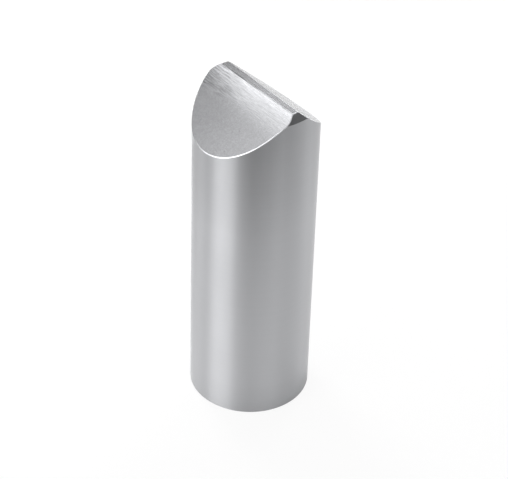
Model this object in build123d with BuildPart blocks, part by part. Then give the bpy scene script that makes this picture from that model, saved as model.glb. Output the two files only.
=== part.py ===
"""Pawl pin: a turned steel pin whose nose is milled to a blunt roof that drops into a ratchet notch.

Millimetres, +Z from the flat base to the nose, origin at the centre of the base.
The ridge of the roof runs along X. The front flank faces -Y and the back flank faces +Y.
"""

from build123d import *
from math import cos, radians, sin, tan
import os

# Turned blank
PIN_DIAMETER = 10.0
PIN_LENGTH = 28.7
NOSE_CHAMFER = 0.55  # both legs, at 45 degrees, turned before the roof is milled
CHAMFER_BLEND = 0.4  # radius that softens the chamfer into the end face
BASE_BREAK = 0.1

# Milled roof
FLANK_SLOPE = 41.0  # degrees down from the end face, the same on both sides
LAND_HALF_WIDTH = 0.5  # flat ridge that the cutter leaves on each side of the axis

# Crown dressed by hand along the top of the front flank
CROWN_RADIUS = 13.0
CROWN_TOP_SLOPE = 29.0  # degrees, where the crown breaks out into the land

# Deburring of the milled edges
EDGE_BREAK = 0.15

CUTTER_OVERRUN = 1.0  # how far each cut runs past the pin

pin_radius = PIN_DIAMETER / 2
reach = pin_radius + CUTTER_OVERRUN
slope = radians(FLANK_SLOPE)
top_slope = radians(CROWN_TOP_SLOPE)

# Each flank leaves the shank at this height, and each cut ends at this depth.
flank_foot_z = PIN_LENGTH - (pin_radius - LAND_HALF_WIDTH) * tan(slope)
cut_foot_z = PIN_LENGTH - (reach - LAND_HALF_WIDTH) * tan(slope)
cut_top_z = PIN_LENGTH + CUTTER_OVERRUN

# The crown is an arc tangent to the front flank that ends in the plane of the land.
crown_drop = CROWN_RADIUS * (cos(top_slope) - cos(slope))
crown_width = CROWN_RADIUS * (sin(slope) - sin(top_slope))
crown_foot_y = LAND_HALF_WIDTH + crown_drop / tan(slope)
crown_top_y = crown_foot_y - crown_width

with BuildPart() as pawl_pin:
    # Turned blank: half of its lengthwise section, spun about the axis
    with BuildSketch(Plane.XZ) as half_section:
        with BuildLine():
            Polyline(
                (0, 0),
                (pin_radius - BASE_BREAK, 0),
                (pin_radius, BASE_BREAK),
                (pin_radius, PIN_LENGTH - NOSE_CHAMFER),
                (pin_radius - NOSE_CHAMFER, PIN_LENGTH),
                (0, PIN_LENGTH),
                close=True,
            )
        make_face()
        end_face_rim = (pin_radius - NOSE_CHAMFER, PIN_LENGTH)
        fillet(half_section.vertices().sort_by_distance(end_face_rim)[0], radius=CHAMFER_BLEND)
    revolve(axis=Axis.Z)

    # Roof: everything outside the two flanks and above the land is milled away, square across the pin
    with BuildSketch(Plane.YZ) as roof_cuts:
        with BuildLine():
            front_flank = Line((-reach, cut_foot_z), (-crown_foot_y, PIN_LENGTH - crown_drop))
            crown = JernArc(front_flank @ 1, front_flank % 1, CROWN_RADIUS, CROWN_TOP_SLOPE - FLANK_SLOPE)
            Polyline(crown @ 1, (-crown_top_y, cut_top_z), (-reach, cut_top_z), front_flank @ 0)
        make_face()
        with BuildLine():
            Polyline(
                (LAND_HALF_WIDTH, PIN_LENGTH),
                (reach, cut_foot_z),
                (reach, cut_top_z),
                (LAND_HALF_WIDTH, cut_top_z),
                close=True,
            )
        make_face()
    extrude(amount=reach, both=True, mode=Mode.SUBTRACT)

    # Deburring: every edge that the milling left. The circles are turned, and the crown's foot is smooth.
    nose_edges = pawl_pin.edges().filter_by_position(Axis.Z, flank_foot_z, PIN_LENGTH)
    milled_edges = nose_edges.filter_by(GeomType.CIRCLE, reverse=True)
    crown_foot = milled_edges.filter_by(Axis.X).sort_by(Axis.Z)[0]
    fillet(milled_edges.filter_by(lambda edge: edge != crown_foot), radius=EDGE_BREAK)

pawl_pin.part.label = "pawl_pin"

os.makedirs("parts", exist_ok=True)
export_step(pawl_pin.part, "parts/pawl_pin.step")
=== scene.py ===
"""The looks of a pawl pin: a ground steel shank under a milled roof nose with deburred edges.

Metres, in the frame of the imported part: +Z up the pin from its base, the ridge of the roof along X,
the front flank towards -Y and the back flank towards +Y.
"""

from math import cos, pi, radians, sin, tan

import bmesh
import bpy
from mathutils import Matrix, Quaternion, Vector


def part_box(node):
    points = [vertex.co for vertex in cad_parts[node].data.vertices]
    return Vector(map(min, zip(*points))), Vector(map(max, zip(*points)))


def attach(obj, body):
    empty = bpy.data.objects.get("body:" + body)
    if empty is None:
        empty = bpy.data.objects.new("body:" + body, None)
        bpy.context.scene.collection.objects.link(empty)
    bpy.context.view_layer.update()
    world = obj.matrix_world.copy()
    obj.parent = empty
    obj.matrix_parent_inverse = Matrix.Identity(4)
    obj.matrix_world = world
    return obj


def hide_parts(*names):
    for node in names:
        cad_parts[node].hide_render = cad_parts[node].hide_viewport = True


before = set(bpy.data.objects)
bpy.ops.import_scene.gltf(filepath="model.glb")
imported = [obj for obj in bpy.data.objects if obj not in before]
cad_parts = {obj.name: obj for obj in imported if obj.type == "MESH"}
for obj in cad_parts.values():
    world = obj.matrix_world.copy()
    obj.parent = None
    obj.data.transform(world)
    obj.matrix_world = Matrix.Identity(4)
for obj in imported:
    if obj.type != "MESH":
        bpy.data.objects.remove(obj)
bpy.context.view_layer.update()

MM = 0.001

# ---------------------------------------------------------------------------------------------------
# The pin's form
# ---------------------------------------------------------------------------------------------------

PIN_LOW, PIN_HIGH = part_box("pawl_pin")
PIN_LENGTH = PIN_HIGH.z

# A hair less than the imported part's, so that the turned facets never stand outside its box
PIN_RADIUS = 4.999 * MM

NOSE_CHAMFER = 0.55 * MM
CHAMFER_BLEND = 0.14 * MM
BASE_BREAK = 0.1 * MM
FLANK_SLOPE = radians(41.0)
LAND_HALF_WIDTH = 0.5 * MM
CROWN_RADIUS = 13.0 * MM
CROWN_TOP_SLOPE = radians(29.0)
EDGE_BREAK = 0.055 * MM

# The front flank stands a little over the chamfer at both ends of the ridge.
FLANK_FULLNESS = 0.13 * MM

TURNING_STEPS = 128
BLEND_STEPS = 3
CROWN_STEPS = 12
BREAK_SEGMENTS = 4

# Places closer than the weld are one place, an edge shorter than the shortest is closed up before the
# bevel, and two faces of one surface that meet at more than the crease show a line.
WELD = 0.0001 * MM
SHORTEST_EDGE = 0.07 * MM
CREASE = radians(25)

# How far a face's normal rises: 1 for a level face, 0.707 for the chamfer and more for what lies over it.
LEVEL = 0.9999
FLANK_RISE = 0.7
BLEND_RISE = 0.72
SQUARE_TO_RIDGE = 0.0001

# Each surface of the pin has its own finish, in this order of material slots.
SHANK, CHAMFER, LAND, FRONT_FLANK, BACK_FLANK, BROKEN_EDGE, BASE = range(7)


def half_section():
    """Radius and height of the turned blank, from the rim of the base to the rim of the end face."""
    trim = CHAMFER_BLEND * tan(pi / 8)
    centre = Vector((PIN_RADIUS - NOSE_CHAMFER - trim, PIN_LENGTH - CHAMFER_BLEND))
    points = [
        (PIN_RADIUS - BASE_BREAK, 0.0),
        (PIN_RADIUS, BASE_BREAK),
        (PIN_RADIUS, PIN_LENGTH - NOSE_CHAMFER),
    ]
    for step in range(BLEND_STEPS + 1):
        angle = pi / 4 + pi / 4 * step / BLEND_STEPS
        points.append((centre.x + CHAMFER_BLEND * cos(angle), centre.y + CHAMFER_BLEND * sin(angle)))
    return points


def turn_blank(bm):
    """Spins the half section about the pin's axis and closes both ends."""
    section = [bm.verts.new((radius, 0.0, height)) for radius, height in half_section()]
    chain = [bm.edges.new(pair) for pair in zip(section, section[1:])]
    bmesh.ops.spin(
        bm,
        geom=section + chain,
        cent=(0, 0, 0),
        axis=(0, 0, 1),
        angle=2 * pi,
        steps=TURNING_STEPS,
        use_merge=True,
    )
    bmesh.ops.remove_doubles(bm, verts=bm.verts, dist=WELD)
    bmesh.ops.holes_fill(bm, edges=[edge for edge in bm.edges if edge.is_boundary])


def mill(bm, point, normal):
    """Cuts away everything on the outer side of a plane and closes the cut with one flat face."""
    geometry = bm.verts[:] + bm.edges[:] + bm.faces[:]
    cut = bmesh.ops.bisect_plane(
        bm, geom=geometry, dist=WELD, plane_co=point, plane_no=normal, clear_outer=True
    )
    rim = [item for item in cut["geom_cut"] if isinstance(item, bmesh.types.BMEdge)]
    bmesh.ops.edgeloop_fill(bm, edges=rim)


def mill_roof(bm):
    """The back flank in one cut, then the front one with its crown, in many narrow tangent cuts."""
    crown_drop = CROWN_RADIUS * (cos(CROWN_TOP_SLOPE) - cos(FLANK_SLOPE))
    foot = Vector((0, -LAND_HALF_WIDTH - crown_drop / tan(FLANK_SLOPE), PIN_LENGTH - crown_drop))
    crown_centre = foot - Vector((0, -sin(FLANK_SLOPE), cos(FLANK_SLOPE))) * CROWN_RADIUS
    back_edge = Vector((0, LAND_HALF_WIDTH, PIN_LENGTH))
    mill(bm, back_edge, Vector((0, sin(FLANK_SLOPE), cos(FLANK_SLOPE))))
    for step in range(CROWN_STEPS + 1):
        slope = FLANK_SLOPE + (CROWN_TOP_SLOPE - FLANK_SLOPE) * step / CROWN_STEPS
        normal = Vector((0, -sin(slope), cos(slope)))
        mill(bm, crown_centre + normal * CROWN_RADIUS, normal)
    bmesh.ops.recalc_face_normals(bm, faces=bm.faces)


def surface_of(face):
    """Which surface a face lies on. The blend over the chamfer counts as a broken edge."""
    normal = face.normal
    if normal.z > LEVEL:
        return LAND
    if normal.z < -LEVEL:
        return BASE
    if abs(normal.x) < SQUARE_TO_RIDGE and normal.z > FLANK_RISE:
        return FRONT_FLANK if normal.y < 0 else BACK_FLANK
    if normal.z > BLEND_RISE:
        return BROKEN_EDGE
    if face.calc_center_median().z > PIN_LENGTH - NOSE_CHAMFER:
        return CHAMFER
    return SHANK


def milled_edges(bm):
    """The edges where a flank meets the land or a turned surface."""
    edges = []
    for edge in bm.edges:
        surfaces = {face.material_index for face in edge.link_faces}
        if len(surfaces) == 2 and surfaces & {FRONT_FLANK, BACK_FLANK}:
            edges.append(edge)
    return edges


def fill_out_flank(bm):
    """Moves the front flank's edge on the chamfer outwards along the flank, most in its middle."""
    for vert in bm.verts:
        surfaces = {face.material_index for face in vert.link_faces}
        if not {FRONT_FLANK, CHAMFER} <= surfaces:
            continue
        flank = [face.normal for face in vert.link_faces if face.material_index == FRONT_FLANK]
        normal = sum(flank, Vector()).normalized()
        outwards = Vector((vert.co.x, vert.co.y, 0))
        outwards = (outwards - normal * outwards.dot(normal)).normalized()
        down = (PIN_LENGTH - vert.co.z) / NOSE_CHAMFER
        vert.co += outwards * FLANK_FULLNESS * max(0.0, sin(pi * down))


def break_edges(bm):
    """Rounds every edge that the milling left, once their shortest stretches are closed up."""
    slivers = [edge for edge in milled_edges(bm) if edge.calc_length() < SHORTEST_EDGE]
    bmesh.ops.collapse(bm, edges=slivers)
    rounded = bmesh.ops.bevel(
        bm,
        geom=milled_edges(bm),
        affect="EDGES",
        offset=EDGE_BREAK,
        offset_type="OFFSET",
        segments=BREAK_SEGMENTS,
        profile=0.5,
        material=-1,
        clamp_overlap=False,
    )
    for face in rounded["faces"]:
        face.material_index = BROKEN_EDGE


def true_up_land(bm):
    """Puts every corner of the land back on its plane."""
    for face in bm.faces:
        if face.material_index == LAND:
            for vert in face.verts:
                vert.co.z = PIN_LENGTH


def shade(bm):
    """Smooth shading within each surface, flat on the land and the base, and a crisp line between two."""
    for face in bm.faces:
        face.smooth = face.material_index not in (LAND, BASE)
    for edge in bm.edges:
        surfaces = {face.material_index for face in edge.link_faces}
        edge.smooth = len(surfaces) == 1 and edge.calc_face_angle() < CREASE


def build_pin():
    """The whole pin as one closed mesh, each of its faces on the material slot of its surface."""
    bm = bmesh.new()
    turn_blank(bm)
    mill_roof(bm)
    for face in bm.faces:
        face.material_index = surface_of(face)
    fill_out_flank(bm)
    break_edges(bm)
    true_up_land(bm)
    shade(bm)
    mesh = bpy.data.meshes.new("pin_body")
    bm.to_mesh(mesh)
    bm.free()
    pin = bpy.data.objects.new("pin_body", mesh)
    bpy.context.scene.collection.objects.link(pin)
    return pin


# ---------------------------------------------------------------------------------------------------
# Finishes
# ---------------------------------------------------------------------------------------------------

STEEL = (0.468, 0.472, 0.486)
PER_MM = 1 / MM

# How far below the ridge the stone reaches, and how far it takes to fade out there, in millimetres
DRESSED_WIDTH = 1.6
DRESSED_FADE = 0.3


def add_node(tree, kind, inputs=None, **settings):
    """Adds a shader node, with its settings and the values of its unlinked inputs."""
    made = tree.nodes.new("ShaderNode" + kind)
    for name, value in settings.items():
        setattr(made, name, value)
    for name, value in (inputs or {}).items():
        made.inputs[name].default_value = value
    return made


def math_node(tree, operation, *terms):
    """A Math node whose terms are numbers or the outputs of other nodes. Returns its output."""
    made = add_node(tree, "Math", operation=operation)
    for socket, term in zip(made.inputs, terms):
        if isinstance(term, (int, float)):
            socket.default_value = term
        else:
            tree.links.new(term, socket)
    return made.outputs["Value"]


def map_range(tree, value, low, high, to_low=0.0, to_high=1.0):
    """Maps low..high of a value to to_low..to_high, and holds it there outside."""
    limits = {"From Min": low, "From Max": high, "To Min": to_low, "To Max": to_high}
    made = add_node(tree, "MapRange", limits)
    tree.links.new(value, made.inputs["Value"])
    return made.outputs["Result"]


def vary(tree, effect, low, high):
    """Spreads an effect that runs from 0 to 1 over low..high."""
    return map_range(tree, effect, 0.0, 1.0, low, high)


def new_effect(name, output, **numbers):
    """A shader node group that reads a place and named numbers, and puts out one value."""
    effect = bpy.data.node_groups.new(name, "ShaderNodeTree")
    effect.interface.new_socket("Place", in_out="INPUT", socket_type="NodeSocketVector")
    for label, value in numbers.items():
        socket = effect.interface.new_socket(label, in_out="INPUT", socket_type="NodeSocketFloat")
        socket.default_value = value
    effect.interface.new_socket(output, in_out="OUTPUT", socket_type="NodeSocketFloat")
    return effect, effect.nodes.new("NodeGroupInput"), effect.nodes.new("NodeGroupOutput")


def make_tool_marks():
    """Fine uneven lines from a cutter or a wheel, drawn out along the axis with the smallest scale."""
    effect, given, result = new_effect("tool_marks", "Height")
    fine = add_node(effect, "TexNoise", {"Scale": 1.0, "Detail": 3.0, "Roughness": 0.6})
    broad = add_node(effect, "TexNoise", {"Scale": 0.21, "Detail": 1.0, "Roughness": 0.5})
    for texture in (fine, broad):
        effect.links.new(given.outputs["Place"], texture.inputs["Vector"])
    height = math_node(effect, "MULTIPLY_ADD", broad.outputs["Fac"], 0.5, fine.outputs["Fac"])
    effect.links.new(map_range(effect, height, 0.45, 1.05), result.inputs["Height"])
    return effect


def make_hairlines():
    """Crisp short hairlines close together, light and dark alike, from 0 to 1."""
    effect, given, result = new_effect("hairlines", "Tone")
    texture = add_node(effect, "TexNoise", {"Scale": 1.0, "Detail": 1.0, "Roughness": 0.6})
    effect.links.new(given.outputs["Place"], texture.inputs["Vector"])
    effect.links.new(map_range(effect, texture.outputs["Fac"], 0.36, 0.64), result.inputs["Tone"])
    return effect


def make_strokes():
    """Single longer strokes, as a stone or a hand leaves them: 1 on a stroke and 0 between."""
    effect, given, result = new_effect("strokes", "Mask", Sparseness=0.6)
    texture = add_node(effect, "TexNoise", {"Scale": 1.0, "Detail": 1.5, "Roughness": 0.55})
    effect.links.new(given.outputs["Place"], texture.inputs["Vector"])
    above = math_node(effect, "SUBTRACT", texture.outputs["Fac"], given.outputs["Sparseness"])
    effect.links.new(map_range(effect, above, 0.0, 0.06), result.inputs["Mask"])
    return effect


def make_cloudiness():
    """Broad soft unevenness of a finish, around 0.5."""
    effect, given, result = new_effect("cloudiness", "Value")
    texture = add_node(effect, "TexNoise", {"Scale": 1.0, "Detail": 2.0, "Roughness": 0.5})
    effect.links.new(given.outputs["Place"], texture.inputs["Vector"])
    effect.links.new(map_range(effect, texture.outputs["Fac"], 0.25, 0.75), result.inputs["Value"])
    return effect


def make_specks():
    """Small round pits, in a few cells only: 1 in a pit."""
    effect, given, result = new_effect("specks", "Mask", Radius=0.06, Rarity=0.8)
    cells = add_node(effect, "TexVoronoi", {"Scale": 1.0, "Randomness": 1.0})
    effect.links.new(given.outputs["Place"], cells.inputs["Vector"])
    draw = add_node(effect, "SeparateColor")
    effect.links.new(cells.outputs["Color"], draw.inputs["Color"])
    chosen = math_node(effect, "GREATER_THAN", draw.outputs["Red"], given.outputs["Rarity"])
    inner = math_node(effect, "DIVIDE", cells.outputs["Distance"], given.outputs["Radius"])
    depth = map_range(effect, inner, 0.6, 1.2, 1.0, 0.0)
    effect.links.new(math_node(effect, "MULTIPLY", depth, chosen), result.inputs["Mask"])
    return effect


def place_effect(tree, effect, scale, turn=0.0, **values):
    """Puts an effect into a material, at so many periods per millimetre and turned about the pin's axis."""
    place = add_node(tree, "TexCoord")
    mapping = add_node(tree, "Mapping", {"Scale": [PER_MM * s for s in scale], "Rotation": (0, 0, turn)})
    used = tree.nodes.new("ShaderNodeGroup")
    used.node_tree = effect
    for name, value in values.items():
        used.inputs[name].default_value = value
    tree.links.new(place.outputs["Object"], mapping.inputs["Vector"])
    tree.links.new(mapping.outputs["Vector"], used.inputs["Place"])
    return used.outputs[0]


def along_axis(tree, axis):
    """The pin's own X, Y or Z, in metres."""
    place = add_node(tree, "TexCoord")
    axes = add_node(tree, "SeparateXYZ")
    tree.links.new(place.outputs["Object"], axes.inputs["Vector"])
    return axes.outputs[axis]


def ramp(tree, axis, places, values):
    """A value that goes from the first to the second between two places on an axis, in millimetres."""
    start, end = places
    return map_range(tree, along_axis(tree, axis), start * MM, end * MM, *values)


def bare_steel(name, anisotropy=0.0, axis="X", turn=0.0):
    """A bare steel whose highlights stretch across the tool's marks, before its detail is added."""
    material = bpy.data.materials.new(name)
    material.use_nodes = True
    tree = material.node_tree
    shader = tree.nodes["Principled BSDF"]
    shader.inputs["Metallic"].default_value = 1.0
    shader.inputs["Anisotropic"].default_value = anisotropy
    shader.inputs["Anisotropic Rotation"].default_value = turn
    if anisotropy:
        tangent = add_node(tree, "Tangent", direction_type="RADIAL", axis=axis)
        tree.links.new(tangent.outputs["Tangent"], shader.inputs["Tangent"])
    return material, tree, shader


def finish_surface(tree, shader, tone, roughness, height, depth):
    """Links a tone that scales the steel's colour, a roughness, and a relief from 0 to 1 over the depth."""
    colour = add_node(tree, "VectorMath", {0: STEEL}, operation="SCALE")
    bump = add_node(tree, "Bump", {"Strength": 1.0, "Distance": depth})
    tree.links.new(tone, colour.inputs["Scale"])
    tree.links.new(colour.outputs["Vector"], shader.inputs["Base Color"])
    tree.links.new(roughness, shader.inputs["Roughness"])
    tree.links.new(height, bump.inputs["Height"])
    tree.links.new(bump.outputs["Normal"], shader.inputs["Normal"])


def ground_shank():
    """Centreless ground: very fine rings and a few long handling marks, with painted shade that makes it
    darker towards the nose and the base.
    """
    material, tree, shader = bare_steel("ground_shank", anisotropy=0.8, axis="Z", turn=0.25)
    rings = place_effect(tree, TOOL_MARKS, (0.12, 0.12, 14))
    clouds = place_effect(tree, CLOUDINESS, (0.25, 0.25, 0.12))
    marks = place_effect(tree, STROKES, (2.2, 2.2, 0.5), Sparseness=0.7)
    # Painted shade: darker over the lowest 3 mm, where the metal mirrors the pin's shadow on the floor, and
    # towards the nose, where it mirrors the darker floor far in front.
    painted_base_shade = ramp(tree, "Z", (0, 3), (-0.04, 0.0))
    painted_nose_shade = ramp(tree, "Z", (18, 27.5), (0.0, -0.15))
    clouded = math_node(tree, "ADD", vary(tree, clouds, 0.955, 0.985), vary(tree, rings, -0.012, 0.012))
    tone = math_node(tree, "ADD", clouded, math_node(tree, "ADD", painted_base_shade, painted_nose_shade))
    roughness = math_node(tree, "ADD", vary(tree, clouds, 0.335, 0.365), vary(tree, marks, 0.0, 0.02))
    finish_surface(tree, shader, tone, roughness, rings, depth=0.00006 * MM)
    return material


def turned_chamfer():
    """Turned: rings a little closer and deeper than the shank's."""
    material, tree, shader = bare_steel("turned_chamfer", anisotropy=0.5, axis="Z", turn=0.25)
    rings = place_effect(tree, TOOL_MARKS, (0.2, 0.2, 22))
    tone = vary(tree, rings, 1.0, 1.08)
    roughness = vary(tree, rings, 0.28, 0.32)
    finish_surface(tree, shader, tone, roughness, rings, depth=0.0001 * MM)
    return material


def milled_land():
    """The flat ridge that the cutters leave, with lines along it and painted shade that makes it darker
    towards its ends.
    """
    material, tree, shader = bare_steel("milled_land", anisotropy=0.5, axis="X")
    lines = place_effect(tree, TOOL_MARKS, (0.35, 14, 14))
    clouds = place_effect(tree, CLOUDINESS, (0.5, 0.5, 0.5))
    # Painted shade: darker towards both ends, most at the +X end.
    painted_shade_left = ramp(tree, "X", (-4.4, -1.5), (-0.1, 0.0))
    painted_shade_right = ramp(tree, "X", (1.5, 4.4), (0.0, -0.24))
    painted_shade_ends = math_node(tree, "ADD", painted_shade_left, painted_shade_right)
    tone = math_node(tree, "ADD", painted_shade_ends, vary(tree, clouds, 1.02, 1.06))
    roughness = vary(tree, lines, 0.24, 0.28)
    finish_surface(tree, shader, tone, roughness, lines, depth=0.0001 * MM)
    return material


def reach_of_stone(tree, strokes, clouds, below_ridge):
    """1 on the crown, where the stone has been, and 0 below an uneven line along the flank."""
    uneven = math_node(tree, "ADD", vary(tree, clouds, 0.0, 0.3), vary(tree, strokes, -0.25, 0.25))
    reach = math_node(tree, "ADD", below_ridge, uneven)
    return map_range(tree, reach, DRESSED_WIDTH, DRESSED_WIDTH + DRESSED_FADE, 1.0, 0.0)


def stone_tone_and_painted_light(tree, strokes, below_ridge):
    """What the stone adds to the tone: its strokes, harsher towards the -X end, and painted light, brightest
    at the ridge and darker towards the -X end.
    """
    hairs = place_effect(tree, HAIRLINES, (1.1, 17, 17), turn=radians(-1.5))
    bright_strokes = place_effect(tree, STROKES, (0.5, 13, 13), turn=radians(1.5), Sparseness=0.6)
    fine = math_node(tree, "ADD", vary(tree, strokes, -0.06, 0.06), vary(tree, hairs, -0.1, 0.1))
    stroke_tone = math_node(tree, "MULTIPLY_ADD", bright_strokes, 0.07, fine)
    harshness = ramp(tree, "X", (-4.0, 1.0), (1.6, 0.8))
    # Painted light: darker towards the -X end and brightest along the ridge.
    along = ramp(tree, "X", (-4.6, -0.4), (-0.3, 0.11))
    across = map_range(tree, below_ridge, 0.5, 1.9, 0.045, -0.09)
    brightness = math_node(tree, "ADD", along, across)
    return math_node(tree, "MULTIPLY_ADD", stroke_tone, harshness, brightness)


def dressed_front_flank():
    """Milled flat, with a fine mottling, scuffs and pits, and stroked with a stone along the crown, which
    also carries painted light.
    """
    material, tree, shader = bare_steel("dressed_front_flank", anisotropy=0.5, axis="X")
    lines = place_effect(tree, TOOL_MARKS, (0.5, 5, 5))
    mottling = place_effect(tree, HAIRLINES, (5, 7, 7))
    clouds = place_effect(tree, CLOUDINESS, (0.45, 0.45, 0.45))
    strokes = place_effect(tree, HAIRLINES, (0.7, 11, 11), turn=radians(1))
    scuffs = place_effect(tree, STROKES, (2.2, 0.9, 0.9), turn=radians(35), Sparseness=0.6)
    pits = place_effect(tree, SPECKS, (1.8, 1.8, 1.8), Radius=0.11, Rarity=0.75)

    below_ridge = math_node(tree, "MULTIPLY", along_axis(tree, "Y"), -PER_MM)
    dressed = reach_of_stone(tree, strokes, clouds, below_ridge)
    stone_and_painted_light = stone_tone_and_painted_light(tree, strokes, below_ridge)
    milling = math_node(tree, "ADD", vary(tree, lines, -0.02, 0.02), vary(tree, mottling, 0.945, 1.025))
    tone = math_node(tree, "MULTIPLY_ADD", stone_and_painted_light, dressed, milling)
    tone = math_node(tree, "MULTIPLY_ADD", scuffs, 0.025, tone)
    tone = math_node(tree, "MULTIPLY_ADD", pits, -0.2, tone)
    roughness = vary(tree, clouds, 0.2, 0.24)
    stroked = math_node(tree, "MULTIPLY", strokes, dressed)
    relief = math_node(tree, "MULTIPLY_ADD", stroked, 0.6, mottling)
    relief = math_node(tree, "MULTIPLY_ADD", pits, -2.0, relief)
    finish_surface(tree, shader, tone, roughness, relief, depth=0.0003 * MM)
    return material


def milled_back_flank():
    """Milled flat and left so, with painted light that makes it brighter towards the -X end and darker
    towards the +X end.
    """
    material, tree, shader = bare_steel("milled_back_flank", anisotropy=0.5, axis="X")
    lines = place_effect(tree, TOOL_MARKS, (0.3, 9, 9))
    clouds = place_effect(tree, CLOUDINESS, (0.45, 0.45, 0.45))
    # Painted light: the tone falls from the -X end to the +X end.
    along = ramp(tree, "X", (-4.5, 4.5), (1.16, 0.7))
    tone = math_node(tree, "ADD", along, vary(tree, clouds, -0.02, 0.02))
    roughness = vary(tree, clouds, 0.23, 0.27)
    finish_surface(tree, shader, tone, roughness, lines, depth=0.0002 * MM)
    return material


def broken_edge():
    """Edges rounded by rubbing with a fine stone, with a painted highlight that is bright towards the +X end
    and weaker near the ridge and weakest behind it.
    """
    material, tree, shader = bare_steel("broken_edge")
    rubbing = place_effect(tree, CLOUDINESS, (1.6, 1.6, 1.6))
    lines = place_effect(tree, TOOL_MARKS, (5, 5, 5))
    # Painted highlight: brighter towards the +X end and again at the end itself, weaker near the ridge and
    # weakest behind it.
    along = ramp(tree, "X", (-1.8, 1.2), (0.46, 1.52))
    at_end = ramp(tree, "X", (4.0, 4.6), (0.0, 0.5))
    on_ridge = ramp(tree, "Y", (-1.4, -0.9), (1.0, 0.85))
    on_back = ramp(tree, "Y", (0.3, 0.55), (1.0, 0.62))
    painted_highlight_falloff = math_node(tree, "MULTIPLY", on_ridge, on_back)
    painted_edge_highlight = math_node(tree, "MULTIPLY", math_node(tree, "ADD", along, at_end), painted_highlight_falloff)
    tone = math_node(tree, "ADD", painted_edge_highlight, vary(tree, rubbing, -0.06, 0.06))
    roughness = vary(tree, rubbing, 0.54, 0.48)
    finish_surface(tree, shader, tone, roughness, lines, depth=0.0001 * MM)
    return material


def faced_base():
    """Faced in the lathe: rings about the axis."""
    material, tree, shader = bare_steel("faced_base")
    place = add_node(tree, "TexCoord")
    mapping = add_node(tree, "Mapping", {"Scale": (PER_MM, PER_MM, PER_MM)})
    waves = {"Scale": 1.3, "Distortion": 0.3, "Detail": 2.0}
    rings = add_node(tree, "TexWave", waves, wave_type="RINGS", rings_direction="Z")
    clouds = place_effect(tree, CLOUDINESS, (0.4, 0.4, 0.4))
    tree.links.new(place.outputs["Object"], mapping.inputs["Vector"])
    tree.links.new(mapping.outputs["Vector"], rings.inputs["Vector"])
    ringed = vary(tree, rings.outputs["Fac"], -0.04, 0.04)
    tone = math_node(tree, "ADD", ringed, vary(tree, clouds, 0.96, 1.02))
    roughness = vary(tree, rings.outputs["Fac"], 0.3, 0.38)
    finish_surface(tree, shader, tone, roughness, rings.outputs["Fac"], depth=0.002 * MM)
    return material


TOOL_MARKS = make_tool_marks()
HAIRLINES = make_hairlines()
STROKES = make_strokes()
CLOUDINESS = make_cloudiness()
SPECKS = make_specks()

pin = build_pin()
finishes = (
    ground_shank(),
    turned_chamfer(),
    milled_land(),
    dressed_front_flank(),
    milled_back_flank(),
    broken_edge(),
    faced_base(),
)
for finish in finishes:
    pin.data.materials.append(finish)
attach(pin, "root")
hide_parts("pawl_pin")

# ---------------------------------------------------------------------------------------------------
# Floor, light and camera
# ---------------------------------------------------------------------------------------------------

# Degrees round the pin: 0 looks out from the front flank and 90 from the +X end.
CAMERA_SIDE = 51.955
RIGHT_SIDE = CAMERA_SIDE + 90
DIM_SIDE = CAMERA_SIDE - 125

FLOOR_HALF = 2.0
FLOOR_COLOUR = (0.9, 0.9, 0.9, 1.0)
PAINTED_SHADE_COLOUR = (0.3, 0.3, 0.3, 1.0)
WHITENESS = 0.91

# Out in front, on the camera's side, the white fades out and the floor's colour turns dark: painted shade
# where the light falls off.
WHITE_TO = 30 * MM
GREY_FROM = 39 * MM
DARK_FROM = 60 * MM

# Painted shade that only the metal mirrors: darker close to the pin, most on its right, and dimmer far off
# on the dim side.
CONTACT_REACH = 5.5 * MM
CONTACT_SHIFT = 2.0 * MM
CONTACT_WHITE = 0.36
DIM_FROM = 20 * MM
DIM_TO = 35 * MM
DIM_SHARE = 0.18

# A Mix node has one set of sockets for each kind of data. These are the ones for colours.
MIX_FIRST, MIX_SECOND, MIX_RESULT = 6, 7, 2


def direction(azimuth, elevation):
    """A unit vector. Azimuth 0 looks out from the front flank and 90 degrees from the +X end."""
    return Vector((sin(azimuth) * cos(elevation), -cos(azimuth) * cos(elevation), sin(elevation)))


def floor_sheet():
    """A large flat sheet that the pin stands on."""
    bm = bmesh.new()
    bmesh.ops.create_grid(bm, x_segments=1, y_segments=1, size=FLOOR_HALF)
    mesh = bpy.data.meshes.new("floor")
    bm.to_mesh(mesh)
    bm.free()
    sheet = bpy.data.objects.new("floor", mesh)
    bpy.context.scene.collection.objects.link(sheet)
    return sheet


def from_place(tree, operation, vector):
    """A number that a vector operation makes of a place on the floor and a fixed vector."""
    place = add_node(tree, "TexCoord")
    made = add_node(tree, "VectorMath", {1: vector}, operation=operation)
    tree.links.new(place.outputs["Object"], made.inputs[0])
    return made.outputs["Value"]


def floor_colour(tree, ahead):
    """The floor's colour, pale round the pin and dark far ahead, where painted shade stands in for the light
    falling off.
    """
    colour = add_node(tree, "Mix", data_type="RGBA")
    colour.inputs[MIX_FIRST].default_value = FLOOR_COLOUR
    colour.inputs[MIX_SECOND].default_value = PAINTED_SHADE_COLOUR
    tree.links.new(map_range(tree, ahead, WHITE_TO, DARK_FROM), colour.inputs["Factor"])
    return colour.outputs[MIX_RESULT]


def close_to_pin(tree):
    """How much of the white the metal sees: less close to the pin, and least on its right, a painted shadow
    that only the metal sees.
    """
    away = from_place(tree, "DISTANCE", direction(radians(RIGHT_SIDE), 0) * CONTACT_SHIFT)
    near = PIN_RADIUS - CONTACT_SHIFT
    far = PIN_RADIUS + CONTACT_REACH
    return map_range(tree, away, near, far, CONTACT_WHITE, 1.0)


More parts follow.
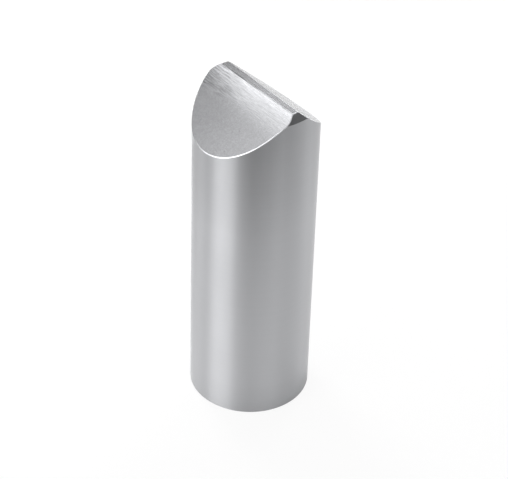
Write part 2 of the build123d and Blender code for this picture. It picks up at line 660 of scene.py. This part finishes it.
def floor_paint():
    """Pale paint that the camera and the metal see nearly white, with the pin's shadow still on it, painted
    shade far ahead, and painted shade for the metal alone close to the pin and far off on the dim side.
    """
    paint = bpy.data.materials.new("floor_paint")
    paint.use_nodes = True
    tree = paint.node_tree
    shader = tree.nodes["Principled BSDF"]
    shader.inputs["Roughness"].default_value = 1.0
    shader.inputs["Specular IOR Level"].default_value = 0.0
    white = add_node(tree, "Emission")
    path = add_node(tree, "LightPath")
    mix = add_node(tree, "MixShader")

    ahead = from_place(tree, "DOT_PRODUCT", direction(radians(CAMERA_SIDE), 0))
    aside = from_place(tree, "DOT_PRODUCT", direction(radians(DIM_SIDE), 0))
    # Painted shade that only the metal mirrors: dimmer far off on the dim side, and darker close to the pin.
    dimmed = map_range(tree, aside, DIM_FROM, DIM_TO, 0.0, DIM_SHARE)
    lost = math_node(tree, "MULTIPLY", path.outputs["Is Glossy Ray"], dimmed)
    mirrored = math_node(tree, "MULTIPLY", path.outputs["Is Glossy Ray"], close_to_pin(tree))
    direct = math_node(tree, "ADD", path.outputs["Is Camera Ray"], mirrored)
    seen = math_node(tree, "ADD", direct, path.outputs["Is Transmission Ray"])
    # Painted shade far ahead: the white fades out there.
    lit = map_range(tree, ahead, WHITE_TO, GREY_FROM, WHITENESS, 0.0)

    tree.links.new(floor_colour(tree, ahead), shader.inputs["Base Color"])
    tree.links.new(math_node(tree, "SUBTRACT", 1.0, lost), white.inputs["Strength"])
    tree.links.new(math_node(tree, "MULTIPLY", seen, lit), mix.inputs["Fac"])
    tree.links.new(shader.outputs["BSDF"], mix.inputs[1])
    tree.links.new(white.outputs["Emission"], mix.inputs[2])
    tree.links.new(mix.outputs["Shader"], tree.nodes["Material Output"].inputs["Surface"])
    return paint


def softbox(name, azimuth, elevation, distance, size, brightness):
    """A soft square lamp that faces the pin's middle and that the camera doesn't see."""
    data = bpy.data.lights.new(name, "AREA")
    data.shape = "SQUARE"
    data.size = size
    data.energy = brightness * pi * size * size
    lamp = bpy.data.objects.new(name, data)
    bpy.context.scene.collection.objects.link(lamp)
    towards = direction(azimuth, elevation)
    lamp.location = PIN_MIDDLE + towards * distance
    lamp.rotation_euler = towards.to_track_quat("Z", "Y").to_euler()
    lamp.visible_camera = False


floor = floor_sheet()
floor.data.materials.append(floor_paint())

WORLD_GREY = (0.08, 0.08, 0.08, 1.0)
world = bpy.data.worlds.new("studio")
world.use_nodes = True
world.node_tree.nodes["Background"].inputs["Color"].default_value = WORLD_GREY
bpy.context.scene.world = world

PIN_MIDDLE = (PIN_LOW + PIN_HIGH) / 2

# A lamp's distance from the pin's middle, and the length of its sides
FAR = (0.5, 0.176)
NEAR = (0.11, 0.045)
WIDE = (0.5, 0.45)

# Name, degrees round from the camera's side, degrees up, distance and size, brightness
LAMPS = (
    ("low_left_back", -150, 12, NEAR, 23.0),
    ("low_left_side", -100, 8, FAR, 6.2),
    ("low_left", -80, 8, FAR, 1.5),
    ("low_left_front", -60, 8, FAR, 12.0),
    ("low_front_left", -40, 8, FAR, 9.9),
    ("low_front", -20, 8, FAR, 1.2),
    ("low_front_right", 20, 8, FAR, 1.15),
    ("low_right_front", 40, 8, FAR, 1.8),
    ("low_right_side", 100, 8, FAR, 2.8),
    ("low_right_back", 150, 12, NEAR, 7.0),
    ("middle_back", 160, 26, FAR, 2.5),
    ("middle_back_near", 180, 37, NEAR, 0.2),
    ("middle_left", -90, 34, NEAR, 0.77),
    ("middle_left_back", -120, 34, NEAR, 0.24),
    ("upper_left", -100, 44, FAR, 0.3),
    ("upper_left_back", -140, 44, FAR, 1.25),
    ("upper_right", 80, 44, FAR, 0.17),
    ("high_left_front", -60, 56, FAR, 2.2),
    ("high_left_back", -120, 56, NEAR, 1.2),
    ("high_back", 180, 56, NEAR, 3.0),
    ("high_right_back", 150, 56, NEAR, 1.26),
    ("fill_front_right", 35, 45, WIDE, 0.3),
    ("fill_overhead", 0, 86, WIDE, 0.3),
)
for name, around, above, (distance, size), brightness in LAMPS:
    softbox(name, radians(CAMERA_SIDE + around), radians(above), distance, size, brightness)

CAMERA_ELEVATION = radians(36.673)
CAMERA_DISTANCE = 151.275 * MM
CAMERA_ROLL = radians(1.704)
CAMERA_LENS = 132.64
SENSOR_WIDTH = 36.0
SEES_FROM = 0.01
SEES_TO = 10.0

# The camera aims this far from the pin's middle.
AIM_RIGHT = 0.095 * MM
AIM_UP = -0.057 * MM


def set_camera():
    """Looks down on the nose from over the +X end of the front flank, with a very small roll."""
    data = bpy.data.cameras.new("camera")
    data.lens = CAMERA_LENS
    data.sensor_width = SENSOR_WIDTH
    data.clip_start = SEES_FROM
    data.clip_end = SEES_TO
    camera = bpy.data.objects.new("camera", data)
    bpy.context.scene.collection.objects.link(camera)
    bpy.context.scene.camera = camera

    towards = direction(radians(CAMERA_SIDE), CAMERA_ELEVATION)
    roll = Quaternion(towards, CAMERA_ROLL)
    right = roll @ towards.cross(Vector((0, 0, -1))).normalized()
    up = towards.cross(right)
    place = PIN_MIDDLE + towards * CAMERA_DISTANCE
    forward = (PIN_MIDDLE + right * AIM_RIGHT + up * AIM_UP - place).normalized()
    true_right = forward.cross(up).normalized()
    axes = Matrix((true_right, true_right.cross(forward), -forward)).transposed()
    camera.matrix_world = Matrix.Translation(place) @ axes.to_4x4()


set_camera()

bpy.context.scene.view_settings.view_transform = "Standard"
